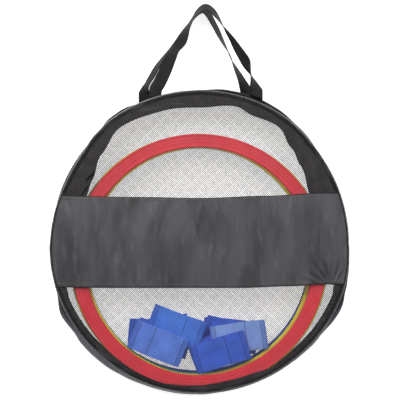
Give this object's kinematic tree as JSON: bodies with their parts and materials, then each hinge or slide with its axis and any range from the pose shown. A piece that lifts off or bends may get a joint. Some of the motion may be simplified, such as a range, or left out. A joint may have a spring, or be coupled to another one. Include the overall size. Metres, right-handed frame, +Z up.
{
  "type": "agility ring set in a carry bag",
  "caption": "Flat coloured agility rings and padded blue connectors in a round black carry bag with mesh panels, a plain band, a curved zip and webbing handles.",
  "frame": {"origin": "centre of the underside of the back panel, which the bag lies on", "axes": "+Z up through the front panel, +Y towards the carry handles, +X to the right"},
  "size_m": [0.476, 0.616, 0.0522],
  "materials": {
    "mesh": "knitted nylon mesh with small open cells",
    "band": "plain coated nylon with a soft sheen",
    "gusset": "black coated nylon, smooth, folds easily",
    "piping": "glossy black vinyl over a cord",
    "zip_tape": "woven polyester tape",
    "zip_teeth": "moulded black acetal",
    "zip_metal": "black enamelled zinc",
    "webbing": "woven polypropylene webbing, ribbed",
    "ring_red": "moulded plastic, semi-gloss",
    "ring_yellow": "moulded plastic, semi-gloss",
    "ring_green": "moulded plastic, semi-gloss",
    "ring_blue": "moulded plastic, semi-gloss",
    "connector": "padded blue nylon with stitched edges"
  },
  "bodies": {
    "bag": {"back_panel": "mesh", "back_piping": "piping", "gusset_back": "gusset", "gusset_left": "gusset", "gusset_right": "gusset", "zip_tape_back": "zip_tape", "zip_tape_ends": "zip_tape", "zip_teeth_back": "zip_teeth", "zip_teeth_ends": "zip_teeth", "zip_stops": "zip_metal", "mesh_lower": "mesh", "piping_lower": "piping", "back_handle_ends": "webbing"},
    "cover": {"mesh_cover": "mesh", "front_band": "band", "gusset_cover": "gusset", "piping_cover": "piping", "zip_tape_cover": "zip_tape", "zip_teeth_cover": "zip_teeth", "front_handle_ends": "webbing"},
    "slider": {"zip_slider": "zip_metal"},
    "pull": {"zip_pull": "zip_metal"},
    "front_handle": {"front_handle": "webbing"},
    "back_handle": {"back_handle": "webbing"},
    "contents": {"ring_blue_1": "ring_blue"},
    "ring_blue_2": {"ring_blue_2": "ring_blue"},
    "ring_blue_3": {"ring_blue_3": "ring_blue"},
    "ring_green_1": {"ring_green_1": "ring_green"},
    "ring_green_2": {"ring_green_2": "ring_green"},
    "ring_green_3": {"ring_green_3": "ring_green"},
    "ring_yellow_1": {"ring_yellow_1": "ring_yellow"},
    "ring_yellow_2": {"ring_yellow_2": "ring_yellow"},
    "ring_yellow_3": {"ring_yellow_3": "ring_yellow"},
    "ring_red_1": {"ring_red_1": "ring_red"},
    "ring_red_2": {"ring_red_2": "ring_red"},
    "ring_red_3": {"ring_red_3": "ring_red"},
    "connector_01": {"connector_01": "connector"},
    "connector_02": {"connector_02": "connector"},
    "connector_03": {"connector_03": "connector"},
    "connector_04": {"connector_04": "connector"},
    "connector_05": {"connector_05": "connector"},
    "connector_06": {"connector_06": "connector"},
    "connector_07": {"connector_07": "connector"},
    "connector_08": {"connector_08": "connector"},
    "connector_09": {"connector_09": "connector"},
    "connector_10": {"connector_10": "connector"},
    "connector_11": {"connector_11": "connector"},
    "connector_12": {"connector_12": "connector"}
  },
  "joints": [
    {"name": "cover_hinge", "type": "hinge", "parent": "bag", "child": "cover", "pos_m": [0, -0.072, 0.0522], "axis": [1, 0, 0], "range_deg": [0, 140]},
    {"name": "zip_slide", "type": "hinge", "parent": "bag", "child": "slider", "pos_m": [0, 0, 0.02565], "axis": [0, 0, 1], "range_deg": [0, 222.94]},
    {"name": "pull_hinge", "type": "hinge", "parent": "slider", "child": "pull", "pos_m": [0.22158, -0.08715, 0.02565], "axis": [0, 0, 1], "range_deg": [0, 170]},
    {"name": "front_handle_hinge", "type": "hinge", "parent": "cover", "child": "front_handle", "pos_m": [0, 0.2326, 0.0443], "axis": [1, 0, 0], "range_deg": [0, 105]},
    {"name": "back_handle_hinge", "type": "hinge", "parent": "bag", "child": "back_handle", "pos_m": [0, 0.2326, 0.007], "axis": [1, 0, 0], "range_deg": [-90, 0]},
    {"name": "contents_slide", "type": "slide", "parent": "bag", "child": "contents", "axis": [0, 1, 0], "range_m": [0, 0.05]},
    {"name": "ring_blue_2_spin", "type": "hinge", "parent": "contents", "child": "ring_blue_2", "pos_m": [-0.00275, -0.03118, 0.00695], "axis": [0, 0, 1], "continuous": true},
    {"name": "ring_blue_3_spin", "type": "hinge", "parent": "contents", "child": "ring_blue_3", "pos_m": [0, -0.0313, 0.01075], "axis": [0, 0, 1], "continuous": true},
    {"name": "ring_green_1_spin", "type": "hinge", "parent": "contents", "child": "ring_green_1", "pos_m": [-0.00245, -0.03171, 0.01455], "axis": [0, 0, 1], "continuous": true},
    {"name": "ring_green_2_spin", "type": "hinge", "parent": "contents", "child": "ring_green_2", "pos_m": [0.00104, -0.03153, 0.01835], "axis": [0, 0, 1], "continuous": true},
    {"name": "ring_green_3_spin", "type": "hinge", "parent": "contents", "child": "ring_green_3", "pos_m": [-0.00349, -0.03161, 0.02215], "axis": [0, 0, 1], "continuous": true},
    {"name": "ring_yellow_1_spin", "type": "hinge", "parent": "contents", "child": "ring_yellow_1", "pos_m": [-0.00689, -0.03079, 0.02595], "axis": [0, 0, 1], "continuous": true},
    {"name": "ring_yellow_2_spin", "type": "hinge", "parent": "contents", "child": "ring_yellow_2", "pos_m": [-0.00488, -0.03142, 0.02975], "axis": [0, 0, 1], "continuous": true},
    {"name": "ring_yellow_3_spin", "type": "hinge", "parent": "contents", "child": "ring_yellow_3", "pos_m": [0.00243, -0.03146, 0.03355], "axis": [0, 0, 1], "continuous": true},
    {"name": "ring_red_1_spin", "type": "hinge", "parent": "contents", "child": "ring_red_1", "pos_m": [-0.00068, -0.03104, 0.03735], "axis": [0, 0, 1], "continuous": true},
    {"name": "ring_red_2_spin", "type": "hinge", "parent": "contents", "child": "ring_red_2", "pos_m": [-0.00235, -0.03046, 0.04115], "axis": [0, 0, 1], "continuous": true},
    {"name": "ring_red_3_spin", "type": "hinge", "parent": "contents", "child": "ring_red_3", "pos_m": [-0.00134, -0.0304, 0.04495], "axis": [0, 0, 1], "continuous": true},
    {"name": "connector_01_slide", "type": "slide", "parent": "contents", "child": "connector_01", "axis": [0, 1, 0], "range_m": [0, 0.1]},
    {"name": "connector_02_slide", "type": "slide", "parent": "contents", "child": "connector_02", "axis": [0, 1, 0], "range_m": [0, 0.1]},
    {"name": "connector_03_slide", "type": "slide", "parent": "contents", "child": "connector_03", "axis": [0, 1, 0], "range_m": [0, 0.1]},
    {"name": "connector_04_slide", "type": "slide", "parent": "contents", "child": "connector_04", "axis": [0, 1, 0], "range_m": [0, 0.1]},
    {"name": "connector_05_slide", "type": "slide", "parent": "contents", "child": "connector_05", "axis": [0, 1, 0], "range_m": [0, 0.1]},
    {"name": "connector_06_slide", "type": "slide", "parent": "contents", "child": "connector_06", "axis": [0, 1, 0], "range_m": [0, 0.1]},
    {"name": "connector_07_slide", "type": "slide", "parent": "contents", "child": "connector_07", "axis": [0, 1, 0], "range_m": [0, 0.1]},
    {"name": "connector_08_slide", "type": "slide", "parent": "contents", "child": "connector_08", "axis": [0, 1, 0], "range_m": [0, 0.1]},
    {"name": "connector_09_slide", "type": "slide", "parent": "contents", "child": "connector_09", "axis": [0, 1, 0], "range_m": [0, 0.1]},
    {"name": "connector_10_slide", "type": "slide", "parent": "contents", "child": "connector_10", "axis": [0, 1, 0], "range_m": [0, 0.1]},
    {"name": "connector_11_slide", "type": "slide", "parent": "contents", "child": "connector_11", "axis": [0, 1, 0], "range_m": [0, 0.1]},
    {"name": "connector_12_slide", "type": "slide", "parent": "contents", "child": "connector_12", "axis": [0, 1, 0], "range_m": [0, 0.1]}
  ]
}
